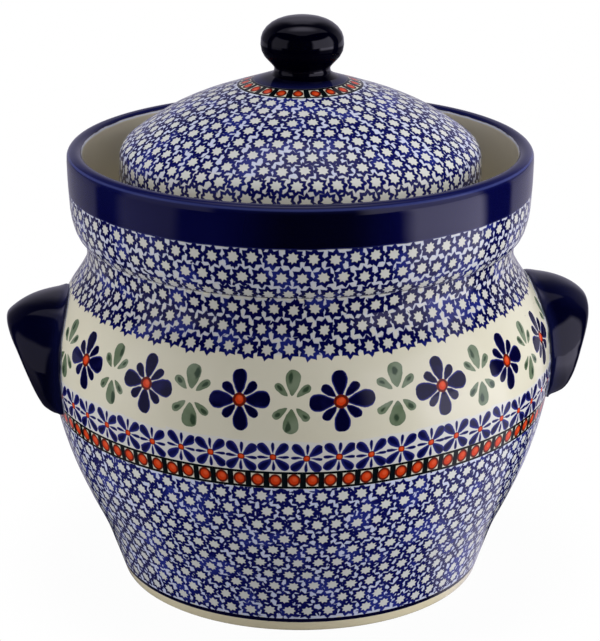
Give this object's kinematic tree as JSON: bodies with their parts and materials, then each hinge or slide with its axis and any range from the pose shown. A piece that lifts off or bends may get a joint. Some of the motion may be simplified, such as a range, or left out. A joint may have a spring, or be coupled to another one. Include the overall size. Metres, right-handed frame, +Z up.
{
  "type": "fermentation crock",
  "caption": "Round stoneware fermentation crock with a water channel round its rim, a domed lid with a knob, ear handles and pressing stones.",
  "frame": {"origin": "middle of the foot's underside, on the surface the crock stands on", "axes": "+X towards the right handle, +Y away from the picture's viewer, +Z up through the knob"},
  "size_m": [0.332, 0.2878, 0.322],
  "materials": {
    "body_glaze": "clear glaze over cream stoneware with stamped blue stars and blossoms",
    "inside_glaze": "plain cream glaze",
    "channel_glaze": "solid cobalt glaze on the rim, stamped blue stars below it",
    "cobalt_glaze": "solid glossy cobalt glaze",
    "lid_glaze": "clear glaze over stamped blue stars",
    "stone_glaze": "clear glaze over plain stoneware"
  },
  "bodies": {
    "crock": {"jar": "body_glaze", "collar": "inside_glaze", "water_channel": "channel_glaze", "handle_left": "cobalt_glaze", "handle_right": "cobalt_glaze"},
    "lid": {"lid": "lid_glaze", "lid_knob": "cobalt_glaze"},
    "weight_left": {"weight_left": "stone_glaze"},
    "weight_right": {"weight_right": "stone_glaze"}
  },
  "joints": [
    {"name": "lid_lift", "type": "slide", "parent": "crock", "child": "lid", "axis": [0, 0, 1], "range_m": [0, 0.1]},
    {"name": "weight_left_lift", "type": "slide", "parent": "crock", "child": "weight_left", "axis": [0, 0, 1], "range_m": [0, 0.11]},
    {"name": "weight_right_lift", "type": "slide", "parent": "crock", "child": "weight_right", "axis": [0, 0, 1], "range_m": [0, 0.11]}
  ]
}
